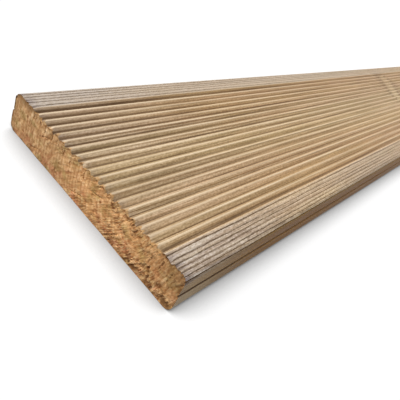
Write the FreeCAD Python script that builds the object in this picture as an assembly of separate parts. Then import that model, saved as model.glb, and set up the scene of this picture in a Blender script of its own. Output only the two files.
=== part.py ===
"""A softwood decking board: one length of timber planed to a reeded section.

The board lies on its plain underside with the reeded walking face up. X runs along the grain, Y across the
face and Z up. The origin is at the middle of the underside. All sizes are in millimetres.
"""
import FreeCAD, Part

import math
import os

# The stock
board_length = 1800.0
board_width = 145.0
board_thickness = 25.0

# The reeds in the middle of the walking face: ribs with a rounded crest and straight flanks, set apart by
# narrow flat roots
reed_pitch = 5.9
reed_root_width = 0.5
reed_height = 1.8
reed_crest_radius = 1.2

# The two margins: a sloping inner flank, a narrow bead and a flat land, then a row of fine V-grooves that runs
# on over the rounded top arris
margin_width = 17.2
margin_flank_run = 1.9
bead_width = 1.4
broad_land = 2.5
fine_groove_pitch = 2.4
fine_groove_width = 0.8
fine_groove_depth = 0.6
least_outer_land = 1.0
top_arris_radius = 4.5

# The sides: an upper and a lower band that two cutters left, with a V-shaped quirk where they meet
bottom_arris_radius = 4.5
upper_band_inset = 0.5
quirk_height = 13.0
quirk_width = 1.6
quirk_depth = 0.4

# Places worked out from the sizes above
lower_half_width = board_width / 2.0
upper_half_width = lower_half_width - upper_band_inset
margin_inner = lower_half_width - margin_width
margin_outer = upper_half_width - top_arris_radius
root_level = board_thickness - reed_height
reed_half_chord = (reed_pitch - reed_root_width) / 2.0
crest_centre_rise = reed_height - reed_crest_radius
crest_centre_reach = math.hypot(reed_half_chord, crest_centre_rise)
flank_slope = math.atan2(crest_centre_rise, reed_half_chord) + math.asin(reed_crest_radius / crest_centre_reach)
shoulder_reach = reed_crest_radius * math.sin(flank_slope)
shoulder_level = board_thickness - reed_crest_radius * (1.0 - math.cos(flank_slope))
reed_field_width = 2.0 * (margin_inner - margin_flank_run) - reed_root_width
reed_count = math.floor(reed_field_width / reed_pitch)

# Places on a margin, as runs over its surface from its inner edge
flat_run = margin_outer - margin_inner
margin_run = flat_run + top_arris_radius * math.pi / 2.0
first_row_lip = bead_width + fine_groove_width + broad_land
last_row_lip = margin_run - least_outer_land - fine_groove_width
row_groove_count = math.floor((last_row_lip - first_row_lip) / fine_groove_pitch) + 1
groove_lips = [bead_width] + [first_row_lip + groove * fine_groove_pitch for groove in range(row_groove_count)]

# The shortest stretch of surface that counts as an edge
least_edge = 0.001


def section_point(across, up):
    """A point of the section, in the plane of the board's first end."""
    return FreeCAD.Vector(-board_length / 2.0, across, up)


def straight_edges(points):
    """Straight edges through a row of section points."""
    return [Part.LineSegment(start, end).toShape() for start, end in zip(points, points[1:])]


def arc_edge(start, middle, end):
    """A round edge through three section points."""
    return Part.Arc(start, middle, end).toShape()


def bottom_arris_edge():
    """The rounded arris between one side and the underside."""
    centre_across = lower_half_width - bottom_arris_radius
    diagonal = bottom_arris_radius * math.sqrt(0.5)
    start = section_point(lower_half_width, bottom_arris_radius)
    middle = section_point(centre_across + diagonal, bottom_arris_radius - diagonal)
    return arc_edge(start, middle, section_point(centre_across, 0.0))


def reed_edges():
    """The row of reeds and the flat roots between them, from the foot of one margin to the other."""
    edges = []
    root_start = section_point(-(margin_inner - margin_flank_run), root_level)
    first_centre = -reed_pitch * (reed_count - 1) / 2.0
    for reed in range(reed_count):
        centre = first_centre + reed * reed_pitch
        foot = section_point(centre - reed_half_chord, root_level)
        shoulder = section_point(centre - shoulder_reach, shoulder_level)
        crest = section_point(centre, board_thickness)
        far_shoulder = section_point(centre + shoulder_reach, shoulder_level)
        far_foot = section_point(centre + reed_half_chord, root_level)
        edges += straight_edges([root_start, foot, shoulder])
        edges.append(arc_edge(shoulder, crest, far_shoulder))
        edges += straight_edges([far_shoulder, far_foot])
        root_start = far_foot
    return edges + straight_edges([root_start, section_point(margin_inner - margin_flank_run, root_level)])


def margin_point(run, depth=0.0):
    """A point of one margin, by its run over the surface from the inner edge and its depth below the surface."""
    if run <= flat_run:
        return section_point(margin_inner + run, board_thickness - depth)
    turn = (run - flat_run) / top_arris_radius
    reach = top_arris_radius - depth
    centre_up = board_thickness - top_arris_radius
    return section_point(margin_outer + reach * math.sin(turn), centre_up + reach * math.cos(turn))


def land_edges(start_run, end_run):
    """The margin's surface between two runs: straight on the flat and round on the top arris."""
    edges = []
    flat_end = min(end_run, flat_run)
    round_start = max(start_run, flat_run)
    if flat_end - start_run > least_edge:
        edges += straight_edges([margin_point(start_run), margin_point(flat_end)])
    if end_run - round_start > least_edge:
        middle = margin_point((round_start + end_run) / 2.0)
        edges.append(arc_edge(margin_point(round_start), middle, margin_point(end_run)))
    return edges


def margin_edges():
    """One margin, from the foot of its inner flank across its fine grooves and over the top arris."""
    edges = straight_edges([section_point(margin_inner - margin_flank_run, root_level), margin_point(0.0)])
    land_start = 0.0
    for lip in groove_lips:
        far_lip = lip + fine_groove_width
        bottom = margin_point(lip + fine_groove_width / 2.0, fine_groove_depth)
        edges += land_edges(land_start, lip)
        edges += straight_edges([margin_point(lip), bottom, margin_point(far_lip)])
        land_start = far_lip
    return edges + land_edges(land_start, margin_run)


def side_edges():
    """One side, from the top arris down over the quirk and round the bottom arris."""
    bands = [
        margin_point(margin_run),
        section_point(upper_half_width, quirk_height + quirk_width / 2.0),
        section_point(upper_half_width - quirk_depth, quirk_height),
        section_point(lower_half_width, quirk_height - quirk_width / 2.0),
        section_point(lower_half_width, bottom_arris_radius),
    ]
    return straight_edges(bands) + [bottom_arris_edge()]


def underside_edges():
    """The plain underside between the two bottom arrises."""
    reach = lower_half_width - bottom_arris_radius
    return straight_edges([section_point(reach, 0.0), section_point(-reach, 0.0)])


def mirrored(edges):
    """The same edges on the other side of the board's middle plane."""
    return [edge.mirror(FreeCAD.Vector(0, 0, 0), FreeCAD.Vector(0, 1, 0)) for edge in edges]


def deck_board():
    """The whole board: its section drawn once and run out to the board's length."""
    flank = margin_edges() + side_edges()
    outline = reed_edges() + flank + mirrored(flank) + underside_edges()
    section = Part.Face(Part.Wire(Part.sortEdges(outline)[0]))
    return section.extrude(FreeCAD.Vector(board_length, 0, 0))


os.makedirs("parts", exist_ok=True)
deck_board().exportStep("parts/deck_board.step")
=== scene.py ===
"""The looks of a reeded softwood decking board: its planed and sawn surfaces, a plain studio and the camera.

The board's length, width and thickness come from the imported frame, and the sizes of its section are named
below in millimetres. Positions in Blender are in metres, in the frame's own axes: X runs along the grain, Y
across the walking face and Z up. The end at -X faces the camera. The near side is the one at -Y and the far
side the one at +Y.
"""

import logging
import math
from collections.abc import Callable
from dataclasses import dataclass, field
from enum import Enum
from functools import partial
from typing import Any, Protocol

import bpy
import numpy as np
from mathutils import Matrix, Vector, noise
from mathutils.geometry import delaunay_2d_cdt

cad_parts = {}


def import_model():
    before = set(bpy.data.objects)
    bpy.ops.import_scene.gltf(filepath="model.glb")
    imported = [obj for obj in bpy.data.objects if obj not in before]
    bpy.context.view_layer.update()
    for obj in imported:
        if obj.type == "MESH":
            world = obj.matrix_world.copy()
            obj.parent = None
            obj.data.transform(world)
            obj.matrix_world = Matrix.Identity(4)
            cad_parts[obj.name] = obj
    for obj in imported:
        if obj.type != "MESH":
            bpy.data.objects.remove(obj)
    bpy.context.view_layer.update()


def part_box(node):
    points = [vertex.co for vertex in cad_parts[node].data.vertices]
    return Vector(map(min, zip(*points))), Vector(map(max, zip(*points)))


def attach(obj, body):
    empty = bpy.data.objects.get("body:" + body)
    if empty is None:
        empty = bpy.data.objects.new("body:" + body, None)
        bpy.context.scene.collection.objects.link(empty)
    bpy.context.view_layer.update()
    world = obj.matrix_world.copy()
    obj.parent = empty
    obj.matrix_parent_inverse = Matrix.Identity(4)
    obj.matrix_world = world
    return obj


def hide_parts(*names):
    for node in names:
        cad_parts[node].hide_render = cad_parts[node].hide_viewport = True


LOG = logging.getLogger("decking_board")
MM = 0.001
NODE = "deck_board"
BODY = "root"
BAKE_MAP = "OFBake"

# The colour sockets of Blender's Mix node, which holds a set of sockets for each kind of data
MIX_A, MIX_B, MIX_OUT = 6, 7, 2
COLOUR_MIX = {"data_type": "RGBA", "out": MIX_OUT}

# The middle of a pattern that goes from 0 to 1, and how strong each finer layer is beside the one before it
PATTERN_MIDDLE = 0.5
FINER_LAYER = 0.55

# A wave so long that a pattern stays the same all along the board, in millimetres
ENDLESS = 1.0e6

# What the triangulation of an end keeps, which is all inside the rim, and how close two points of it may come
INSIDE_RIM = 1
LEAST_APART = 1e-6

# Colours that more than one finish uses, and the powers of a shade that red and blue take on planed pine
WHITE = "#ffffff"
EARLY_PINE = "#dbc3a1"
TORN_DARK = "#5e3108"
TORN_PALE = "#edc78f"
PINE_WARMTH = (0.87, 1.26)

Adder = Callable[..., Any]
Point = tuple[float, float]
Size = tuple[float, float, float]
Row = tuple[float, float, float, float, float, float]

# Where a measure starts and ends, then the value that each of the two gives
Ramp = tuple[float, float, float, float]


class Surface(Enum):
    """The board's two kinds of surface, as slots of its mesh."""

    PLANED = 0
    SAWN = 1


class End(Enum):
    """The board's two ends, by the way that each one faces along X."""

    FIRST = -1
    SECOND = 1


class Season(Enum):
    """The kinds of wood that a tree lays down in turn through a year."""

    EARLY = "early"
    MID = "mid"
    LATE = "late"


class Mark(Enum):
    """Numbers that each point of the mesh carries for the materials."""

    HOLLOW = "hollow"
    MARGIN = "margin"
    SIDE = "side"
    TRACE = "trace"
    PIT = "pit"
    RIM = "rim"
    TORN = "torn"


PLANED_MARKS = (Mark.HOLLOW, Mark.MARGIN, Mark.SIDE, Mark.TRACE)
SAWN_MARKS = (Mark.PIT, Mark.RIM, Mark.TORN)


def linear(hex_colour: str) -> tuple[float, float, float, float]:
    """Turn an sRGB hex colour into linear red, green, blue and alpha.

    Args:
        hex_colour: six hex digits after a #.

    Returns:
        The linear colour, with an alpha of 1.
    """
    channels = []
    for start in (1, 3, 5):
        value = int(hex_colour[start:start + 2], 16) / 255.0
        channels.append(value / 12.92 if value <= 0.04045 else ((value + 0.055) / 1.055) ** 2.4)
    return (*channels, 1.0)


def add_node(
    tree: bpy.types.NodeTree,
    kind: str,
    *sources: Any,
    out: int | str | None = 0,
    stops: tuple[tuple[float, str], ...] = (),
    **settings: Any,
) -> Any:
    """Add a node, set it up, fill its inputs and hand back one of its outputs.

    Args:
        tree: the node tree that gets the node.
        kind: the node's type, without Blender's ShaderNode prefix.
        sources: what goes into the inputs in order: a socket is linked, a value is set, None is left alone.
            A dict fills inputs by name or number instead.
        out: the name or number of the output to hand back, or None for the node itself.
        stops: places and hex colours of a colour ramp.
        settings: properties of the node.

    Returns:
        The output socket, or the node.
    """
    node = tree.nodes.new("ShaderNode" + kind)
    for name, value in settings.items():
        setattr(node, name, value)
    for number, (place, colour) in enumerate(stops):
        elements = node.color_ramp.elements
        element = elements[number] if number < 2 else elements.new(place)
        element.position = place
        element.color = linear(colour)
    filled = []
    for number, source in enumerate(sources):
        filled += list(source.items()) if isinstance(source, dict) else [(number, source)]
    for key, source in filled:
        if isinstance(source, bpy.types.NodeSocket):
            tree.links.new(source, node.inputs[key])
        elif source is not None:
            node.inputs[key].default_value = source
    return node if out is None else node.outputs[out]


def start_material(name: str) -> tuple[bpy.types.Material, Adder]:
    """Make an empty material.

    Args:
        name: the material's name.

    Returns:
        The material, and the function that adds a node to it.
    """
    material = bpy.data.materials.new(name)
    material.use_nodes = True
    material.node_tree.nodes.clear()
    return material, partial(add_node, material.node_tree)


def mottle(node: Adder, at: Any, size: Size, ramp: Ramp | None = None, detail: float = 2.0) -> Any:
    """A noise pattern whose patches have a real size along each axis.

    Args:
        node: the function that adds a node.
        at: the socket with the place on the board, in millimetres.
        size: the patches' size along X, Y and Z, in millimetres.
        ramp: what the pattern, which goes from 0 to 1, is turned into, or None to leave it as it is.
        detail: how many finer layers the pattern has.

    Returns:
        The socket with the pattern.
    """
    shrunk = node("VectorMath", at, tuple(1.0 / length for length in size), operation="MULTIPLY")
    pattern = node("TexNoise", shrunk, {"Scale": 1.0, "Detail": detail, "Roughness": FINER_LAYER})
    return pattern if ramp is None else node("MapRange", pattern, *ramp)


def shaded(node: Adder, wood: Any, shade: Any, warmth: Point) -> Any:
    """Make wood darker or lighter by a shade, and the warmer the darker.

    Args:
        node: the function that adds a node.
        wood: the socket with the colour.
        shade: the socket with the shade, where 1 leaves the colour as it is.
        warmth: the powers of the shade that red and blue take, where green takes the shade itself.

    Returns:
        The socket with the shaded colour.
    """
    red = node("Math", shade, warmth[0], operation="POWER")
    blue = node("Math", shade, warmth[1], operation="POWER")
    return node("VectorMath", wood, node("CombineXYZ", red, shade, blue), operation="MULTIPLY")


def plain_view(node: Adder) -> Any:
    """Tell the rays that show a surface, straight, mirrored or through glass, from those that light it.

    Args:
        node: the function that adds a node.

    Returns:
        The socket that says 1 for the rays that show it and 0 for the others.
    """
    rays = node("LightPath", out=None).outputs
    direct = node("Math", rays["Is Camera Ray"], rays["Is Glossy Ray"], operation="MAXIMUM")
    return node("Math", direct, rays["Is Transmission Ray"], operation="MAXIMUM")


def spaced(corners: list[Point], step: float) -> list[Point]:
    """Points along a row of straight runs, with the last corner left off.

    Args:
        corners: the ends of the runs.
        step: the longest stretch between two points.

    Returns:
        The points, each corner but the last among them.
    """
    points = []
    for start, end in zip(corners, corners[1:]):
        count = max(1, math.ceil(math.dist(start, end) / step))
        for part in range(count):
            share = part / count
            points.append(tuple(a + (b - a) * share for a, b in zip(start, end)))
    return points


def round_run(centre: Point, radius: float, turns: Point, count: int) -> list[Point]:
    """Points along an arc, with its end left off.

    Args:
        centre: the arc's centre.
        radius: its radius.
        turns: the angles of its start and end, in radians up from +Y.
        count: how many straight steps stand for it.

    Returns:
        The points, its start among them.
    """
    points = []
    for part in range(count):
        turn = turns[0] + (turns[1] - turns[0]) * part / count
        points.append((centre[0] + radius * math.cos(turn), centre[1] + radius * math.sin(turn)))
    return points


@dataclass(frozen=True)
class Ripple:
    """Smooth noise for the mesh: how long its waves are and how far it is moved along X, Y and Z, in mm."""

    wave: Size
    shift: Size = (0.0, 0.0, 0.0)

    def at(self, points: np.ndarray) -> np.ndarray:
        """Work out the noise.

        Args:
            points: places, with X, Y and Z along the array's last axis.

        Returns:
            A number from about -1 to 1 for each place.
        """
        scaled = (points.reshape(-1, 3) + np.array(self.shift)) / np.array(self.wave)
        values = [noise.noise(Vector(place)) for place in scaled.tolist()]
        return np.array(values).reshape(points.shape[:-1])


@dataclass(frozen=True)
class ReededSection:
    """The board's section across the grain, in millimetres, about the middle of its underside.

    A point of it is a row of six numbers. Its place across and up comes first. How deep it lies in a hollow,
    how far it is onto a margin and whether it is on a side follow, each about 0 to 1; on the reeds the depth
    is made greater on the flanks that face the middle and at the margins' feet, for painted shade and dirt.
    The last one traces the fine grooves: it is 0 along each of them and 1 or -1 by turns on the lands
    between.
    """

    width: float
    thickness: float
    reed_pitch: float = 5.9
    reed_root_width: float = 0.5
    reed_height: float = 1.8
    reed_crest_radius: float = 1.2
    margin_width: float = 17.2
    margin_flank_run: float = 1.9
    bead_width: float = 1.4
    broad_land: float = 2.5
    fine_groove_pitch: float = 2.4
    fine_groove_width: float = 0.8
    fine_groove_depth: float = 0.6
    least_outer_land: float = 1.0
    top_arris_radius: float = 4.5
    bottom_arris_radius: float = 4.5
    upper_band_inset: float = 0.5
    quirk_height: float = 13.0
    quirk_width: float = 1.6
    quirk_depth: float = 0.4
    # How much deeper the flanks that face the middle count, most on the far half, as painted shade, and
    # the feet of the margins, as dirt and painted shade
    middle_facing_shade: float = 0.25
    far_facing_shade: float = 0.15
    facing_shade_spread: float = 45.0
    foot_dirt_and_shade: float = 0.5
    foot_spread: float = 1.8
    # How finely the outline is drawn
    crest_steps: int = 5
    arris_steps: int = 7
    face_step: float = 0.9
    side_step: float = 2.0
    underside_step: float = 9.0

    @property
    def margin_inner(self) -> float:
        """How far from the middle each margin starts."""
        return self.width / 2 - self.margin_width

    @property
    def margin_outer(self) -> float:
        """How far from the middle the flat of each margin ends."""
        return self.width / 2 - self.upper_band_inset - self.top_arris_radius

    @property
    def root_level(self) -> float:
        """The height of the roots between the reeds."""
        return self.thickness - self.reed_height

    def reed_centres(self) -> list[float]:
        """Where the reeds' crests are across the board."""
        field_width = 2 * (self.margin_inner - self.margin_flank_run) - self.reed_root_width
        count = math.floor(field_width / self.reed_pitch)
        return [self.reed_pitch * (reed - (count - 1) / 2) for reed in range(count)]

    def fine_grooves(self) -> list[float]:
        """Where the fine grooves of a margin start, as runs over its surface from its inner edge."""
        lips = [self.bead_width]
        lip = self.bead_width + self.fine_groove_width + self.broad_land
        whole_run = self.margin_outer - self.margin_inner + self.top_arris_radius * math.pi / 2
        while lip + self.fine_groove_width + self.least_outer_land <= whole_run:
            lips.append(lip)
            lip += self.fine_groove_pitch
        return lips

    def trace(self, run: float) -> float:
        """Follow the fine grooves of a margin by signs that change at each groove.

        Args:
            run: the place as a run over the margin from its inner edge.

        Returns:
            0 in the middle of a groove, and up to 1 or -1 away from it, with 1 past the last groove.
        """
        bottoms = [lip + self.fine_groove_width / 2 for lip in self.fine_grooves()]
        passed = sum(run > bottom for bottom in bottoms)
        away = min(abs(run - bottom) for bottom in bottoms) / (self.fine_groove_pitch / 2)
        return min(1.0, away) * (-1.0) ** (len(bottoms) - passed)

    def dirt_and_shade_depth(self, across: float, up: float, centre: float) -> float:
        """How deep in dirt and painted shade a point of the reeds lies.

        Painted shade sits on the flanks that face the middle, and dirt with painted shade at the margins'
        feet.

        Args:
            across: the point's place across.
            up: its place up.
            centre: the place across of the reed's crest.

        Returns:
            The depth, about 0 to 1.
        """
        facing = (centre - across) / (self.reed_pitch / 2) * max(-1.0, min(1.0, centre / self.facing_shade_spread))
        off_foot = abs(abs(across) - self.margin_inner + self.margin_flank_run)
        heap = self.foot_dirt_and_shade * max(0.0, 1 - off_foot / self.foot_spread)
        bias = self.middle_facing_shade + (self.far_facing_shade if centre > 0 else 0.0)
        return (self.thickness - up) / self.reed_height * (1 + bias * facing + heap)

    def reeds(self) -> list[Row]:
        """Points over the reeds and both margins' inner flanks, from the -Y margin to the +Y one."""
        half = (self.reed_pitch - self.reed_root_width) / 2
        radius = self.reed_crest_radius
        rise = self.reed_height - radius
        slope = math.atan2(rise, half) + math.asin(radius / math.hypot(half, rise))
        shoulder = radius * math.sin(slope)
        shoulder_level = self.thickness - radius + radius * math.cos(slope)
        margin_foot = self.margin_inner - self.margin_flank_run
        outermost = self.reed_centres()[-1] + self.reed_pitch
        flank = spaced([(margin_foot, self.root_level), (self.margin_inner, self.thickness)], self.face_step)
        mirrored = [(-across, up) for across, up in reversed(flank)]
        ribs = [(-outermost, [(-self.margin_inner, self.thickness), *mirrored])]
        for centre in self.reed_centres():
            foot = (centre - half, self.root_level)
            points = spaced([foot, (centre - shoulder, shoulder_level)], self.face_step)
            turns = (math.pi / 2 + slope, math.pi / 2 - slope)
            points += round_run((centre, self.thickness - radius), radius, turns, self.crest_steps)
            far_foot = (centre + half, self.root_level)
            points += spaced([(centre + shoulder, shoulder_level), far_foot], self.face_step)
            ribs.append((centre, [*points, far_foot]))
        ribs.append((outermost, flank))
        trace = self.trace(0.0)
        rows = []
        for centre, points in ribs:
            for across, up in points:
                rows.append((across, up, self.dirt_and_shade_depth(across, up, centre), 0.0, 0.0, trace))
        return rows

    def margin(self) -> list[Row]:
        """Points over the +Y margin and its top arris, from the margin's inner edge to the side."""
        flat_run = self.margin_outer - self.margin_inner
        whole_run = flat_run + self.top_arris_radius * math.pi / 2
        lips = self.fine_grooves()
        path = [(0.0, 0.0)]
        for lip in lips:
            bottom = (lip + self.fine_groove_width / 2, self.fine_groove_depth)
            path += [(lip, 0.0), bottom, (lip + self.fine_groove_width, 0.0)]
        rows = []
        for run, depth in spaced([*path, (whole_run, 0.0)], self.face_step):
            turn = max(0.0, run - flat_run) / self.top_arris_radius
            reach = self.top_arris_radius - depth
            across = self.margin_inner + min(run, flat_run) + reach * math.sin(turn)
            up = self.thickness - self.top_arris_radius + reach * math.cos(turn)
            on_margin = min(1.0, run / (self.bead_width / 2))
            on_side = min(1.0, max(0.0, (run - lips[-1]) / self.fine_groove_width))
            hollow = depth / self.fine_groove_depth
            rows.append((across, up, hollow, on_margin, on_side, self.trace(run)))
        return rows

    def side(self) -> list[Row]:
        """Points down the +Y side, from the top arris to the underside."""
        upper = self.width / 2 - self.upper_band_inset
        lower = self.width / 2
        bands = [
            (upper, self.thickness - self.top_arris_radius),
            (upper, self.quirk_height + self.quirk_width / 2),
            (upper - self.quirk_depth, self.quirk_height),
            (lower, self.quirk_height - self.quirk_width / 2),
            (lower, self.bottom_arris_radius),
        ]
        centre = (lower - self.bottom_arris_radius, self.bottom_arris_radius)
        points = spaced(bands, self.side_step)
        points += round_run(centre, self.bottom_arris_radius, (0.0, -math.pi / 2), self.arris_steps)
        rows = []
        for across, up in [*points, (centre[0], 0.0)]:
            in_quirk = max(0.0, 1 - abs(up - self.quirk_height) / (self.quirk_width / 2))
            rows.append((across, up, in_quirk, 0.0, 1.0, 1.0))
        return rows

    def outline(self) -> np.ndarray:
        """The closed outline: up the -Y side, over the reeds, down the +Y side and back underneath.

        Returns:
            The rows of the points, with no point twice.
        """
        flank = self.margin() + self.side()
        mirrored = [(-row[0], *row[1:]) for row in reversed(flank)]
        underside = spaced([flank[-1][:2], mirrored[0][:2]], self.underside_step)[1:]
        below = [(across, up, 0.0, 0.0, 1.0, 1.0) for across, up in underside]
        return np.array(mirrored[:-1] + self.reeds() + flank + below)


@dataclass(frozen=True)
class Knot:
    """A branch that the board was cut through, as a cone about its own axis, in millimetres."""

    from_end: float
    across: float
    up: float
    way: Size
    reach: float
    girth: Point


@dataclass
class Grain:
    """The sockets that say where a place on the board is, in millimetres, and how the tree grew there."""

    at: Any
    across: Any
    up: Any
    from_end: Any
    from_pith: Any
    phase: Any
    year: Any
    knot: Any


@dataclass(frozen=True)
class Growth:
    """How the tree grew: rings round a pith that strays a little, and branches, in millimetres."""

    length: float
    pith: Point = (-36.5, 18.5)
    pith_stray: Point = (9.0, 5.0)
    stray_wave: float = 800.0
    ring_width: float = 2.3
    wobble: float = 2.4
    wobble_size: Size = (260.0, 16.0, 16.0)
    ripple: float = 0.7
    ripple_size: Size = (48.0, 3.0, 3.0)
    knots: tuple[Knot, ...] = (
        Knot(533.0, 24.0, 23.0, (0.755, 0.655, 0.03), 44.0, (7.0, 12.0)),
        Knot(1096.0, -8.0, 24.0, (0.35, 0.55, 0.76), 60.0, (5.0, 9.5)),
        Knot(1415.0, 41.0, 24.0, (0.42, 0.88, 0.22), 32.0, (2.0, 5.0)),
    )
    # How far the rings give way to a branch, by the distance from it in its radii
    knot_sway: Ramp = (4.0, 0.9, 0.0, 3.6)
    # How a branch runs out past its tip: radii added to the distance, by the place in shares of its reach
    knot_tip: Ramp = (0.8, 1.6, 0.0, 5.0)

    def grain(self, node: Adder) -> Grain:
        """Add the nodes that work out the grain at each place of the board.

        Args:
            node: the function that adds a node.

        Returns:
            The sockets that carry it.
        """
        at = node("VectorMath", node("TexCoord", out="Object"), {"Scale": 1.0 / MM}, operation="SCALE")
        slow = node("VectorMath", at, (1.0 / self.stray_wave, 0.0, 0.0), operation="MULTIPLY")
        stray = node("TexNoise", slow, {"Scale": 1.0, "Detail": 1.0}, out="Color")
        middle = (0.0, self.pith[0] - self.pith_stray[0] / 2, self.pith[1] - self.pith_stray[1] / 2)
        pith = node("VectorMath", stray, (0.0, *self.pith_stray), middle, operation="MULTIPLY_ADD")
        off_pith = node("VectorMath", at, pith, operation="SUBTRACT")
        spoke = node("VectorMath", off_pith, (0.0, 1.0, 1.0), operation="MULTIPLY")
        from_pith = node("VectorMath", spoke, operation="LENGTH", out="Value")
        knot = self.nearest_knot(node, at)
        sway = node("MapRange", knot, *self.knot_sway, interpolation_type="SMOOTHERSTEP")
        wobble = mottle(node, at, self.wobble_size)
        wobble = node("Math", wobble, self.wobble, sway, operation="MULTIPLY_ADD")
        ripple = mottle(node, at, self.ripple_size)
        ripple = node("Math", ripple, self.ripple, wobble, operation="MULTIPLY_ADD")
        swayed = node("Math", from_pith, ripple, operation="ADD")
        rings = node("Math", swayed, self.ring_width, operation="DIVIDE")
        phase = node("Math", rings, operation="FRACT")
        year = node("TexWhiteNoise", {"W": node("Math", rings, operation="FLOOR")}, noise_dimensions="1D")
        along, across, up = (node("SeparateXYZ", at, out=axis) for axis in "XYZ")
        off_middle = node("Math", along, operation="ABSOLUTE")
        from_end = node("Math", self.length / 2, off_middle, operation="SUBTRACT")
        return Grain(at, across, up, from_end, from_pith, phase, year, knot)

    def nearest_knot(self, node: Adder, at: Any) -> Any:
        """Add the nodes that measure how far a place is from the nearest branch.

        Args:
            node: the function that adds a node.
            at: the socket with the place on the board, in millimetres.

        Returns:
            The socket with the distance from the branch's axis, in its radii.
        """
        tip_start, tip_end, least, most = self.knot_tip
        nearest = None
        for knot in self.knots:
            place = (knot.from_end - self.length / 2, knot.across, knot.up)
            off = node("VectorMath", at, place, operation="SUBTRACT")
            way = tuple(Vector(knot.way).normalized())
            along = node("VectorMath", off, way, operation="DOT_PRODUCT", out="Value")
            on_axis = node("VectorMath", off, way, operation="PROJECT")
            out_of_axis = node("VectorMath", off, on_axis, operation="SUBTRACT")
            distance = node("VectorMath", out_of_axis, operation="LENGTH", out="Value")
            girth = node("MapRange", along, -knot.reach, knot.reach, *knot.girth)
            radii = node("Math", distance, girth, operation="DIVIDE")
            past = node("Math", along, operation="ABSOLUTE")
            beyond = node("MapRange", past, knot.reach * tip_start, knot.reach * tip_end, least, most)
            radii = node("Math", radii, beyond, operation="ADD")
            nearest = radii if nearest is None else node("Math", nearest, radii, operation="MINIMUM")
        return nearest


@dataclass(frozen=True)
class YearRings:
    """Pale early wood that ends in a thin line of late wood, fainter in some years than in others."""

    early_wood: str
    mid_wood: str
    late_wood: str
    stops: tuple[tuple[float, Season], ...]
    faintness: Point

    def wood(self, node: Adder, grain: Grain, worn: Any = 0.0) -> Any:
        """Add the nodes that colour the rings.

        Args:
            node: the function that adds a node.
            grain: the sockets of the tree's growth.
            worn: a number or socket that says how much fainter the rings are than elsewhere.

        Returns:
            The socket with the colour.
        """
        colours = {Season.EARLY: self.early_wood, Season.MID: self.mid_wood, Season.LATE: self.late_wood}
        stops = tuple((place, colours[season]) for place, season in self.stops)
        rings = node("ValToRGB", grain.phase, stops=stops)
        faint = node("MapRange", grain.year, 0.0, 1.0, *self.faintness)
        faint = node("Math", faint, worn, operation="ADD", use_clamp=True)
        return node("Mix", {0: faint, MIX_A: rings, MIX_B: linear(self.mid_wood)}, **COLOUR_MIX)


class Layer(Protocol):
    """One layer of a finish."""

    def over(self, spot: Any, wood: Any) -> Any:
        """Lay the layer over the colour so far and hand back the new colour."""


@dataclass
class PlanedSpot:
    """The function that adds a node, and the sockets that say what a place on the planed faces is like.

    After the grain come the four marks that the mesh carries, and whether the place is on a margin or a side.
    The others say how far onto the far margin it is, how lively the wood's figure is, how weathered the
    streak is that it lies in, and its bundle of fibre.
    """

    node: Adder
    grain: Grain
    hollow: Any
    margin: Any
    side: Any
    trace: Any
    off_reeds: Any
    far: Any
    lively: Any
    weather: Any
    fibre: Any


@dataclass(frozen=True)
class FibreFigure:
    """The wood's figure: golden and olive stretches, tone from reed to reed, streaks, threads and dashes."""

    golden: str = "#d5bb8c"
    olive: str = "#ab9566"
    resin: Size = (330.0, 14.0, 30.0)
    resin_share: Ramp = (0.45, 0.68, 0.0, 0.5)
    stain: Size = (140.0, 7.0, 30.0)
    stain_share: Ramp = (0.44, 0.66, 0.0, 0.4)
    tone: Size = (260.0, 6.5, 30.0)
    tone_shade: Ramp = (0.3, 0.7, 0.87, 1.2)
    streak_shade: Ramp = (0.36, 0.64, 0.72, 1.23)
    dash: Size = (16.0, 0.8, 0.8)
    dash_shade: Ramp = (0.62, 0.74, 1.0, 0.72)
    thread: Size = (90.0, 1.25, 1.25)
    thread_shade: Ramp = (0.0, 0.05, 0.76, 1.0)
    # The shade that the figure swings about, and the one that it is set to by the distance from the end
    middle_shade: float = 0.95
    level: Ramp = (30.0, 120.0, 0.95, 0.92)
    warmth: Point = PINE_WARMTH

    def over(self, spot: PlanedSpot, wood: Any) -> Any:
        """Add the layer's nodes.

        Args:
            spot: the sockets of a place on the planed faces.
            wood: the socket with the colour so far.

        Returns:
            The socket with the new colour.
        """
        node, grain = spot.node, spot.grain
        resin = mottle(node, grain.at, self.resin, self.resin_share)
        wood = node("Mix", {0: resin, MIX_A: wood, MIX_B: linear(self.golden)}, **COLOUR_MIX)
        stain = mottle(node, grain.at, self.stain, self.stain_share)
        wood = node("Mix", {0: stain, MIX_A: wood, MIX_B: linear(self.olive)}, **COLOUR_MIX)
        shade = mottle(node, grain.at, self.tone, self.tone_shade)
        streak = node("MapRange", spot.fibre, *self.streak_shade)
        dash = mottle(node, grain.at, self.dash, self.dash_shade)
        thread = mottle(node, grain.at, self.thread, detail=1.0)
        off_thread = node("Math", thread, PATTERN_MIDDLE, operation="SUBTRACT")
        thread = node("MapRange", node("Math", off_thread, operation="ABSOLUTE"), *self.thread_shade)
        for part in (streak, dash, thread):
            shade = node("Math", shade, part, operation="MULTIPLY")
        swing = node("Math", shade, self.middle_shade, operation="SUBTRACT")
        level = node("MapRange", grain.from_end, *self.level)
        shade = node("Math", swing, spot.lively, level, operation="MULTIPLY_ADD")
        return shaded(node, wood, shade, self.warmth)


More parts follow.
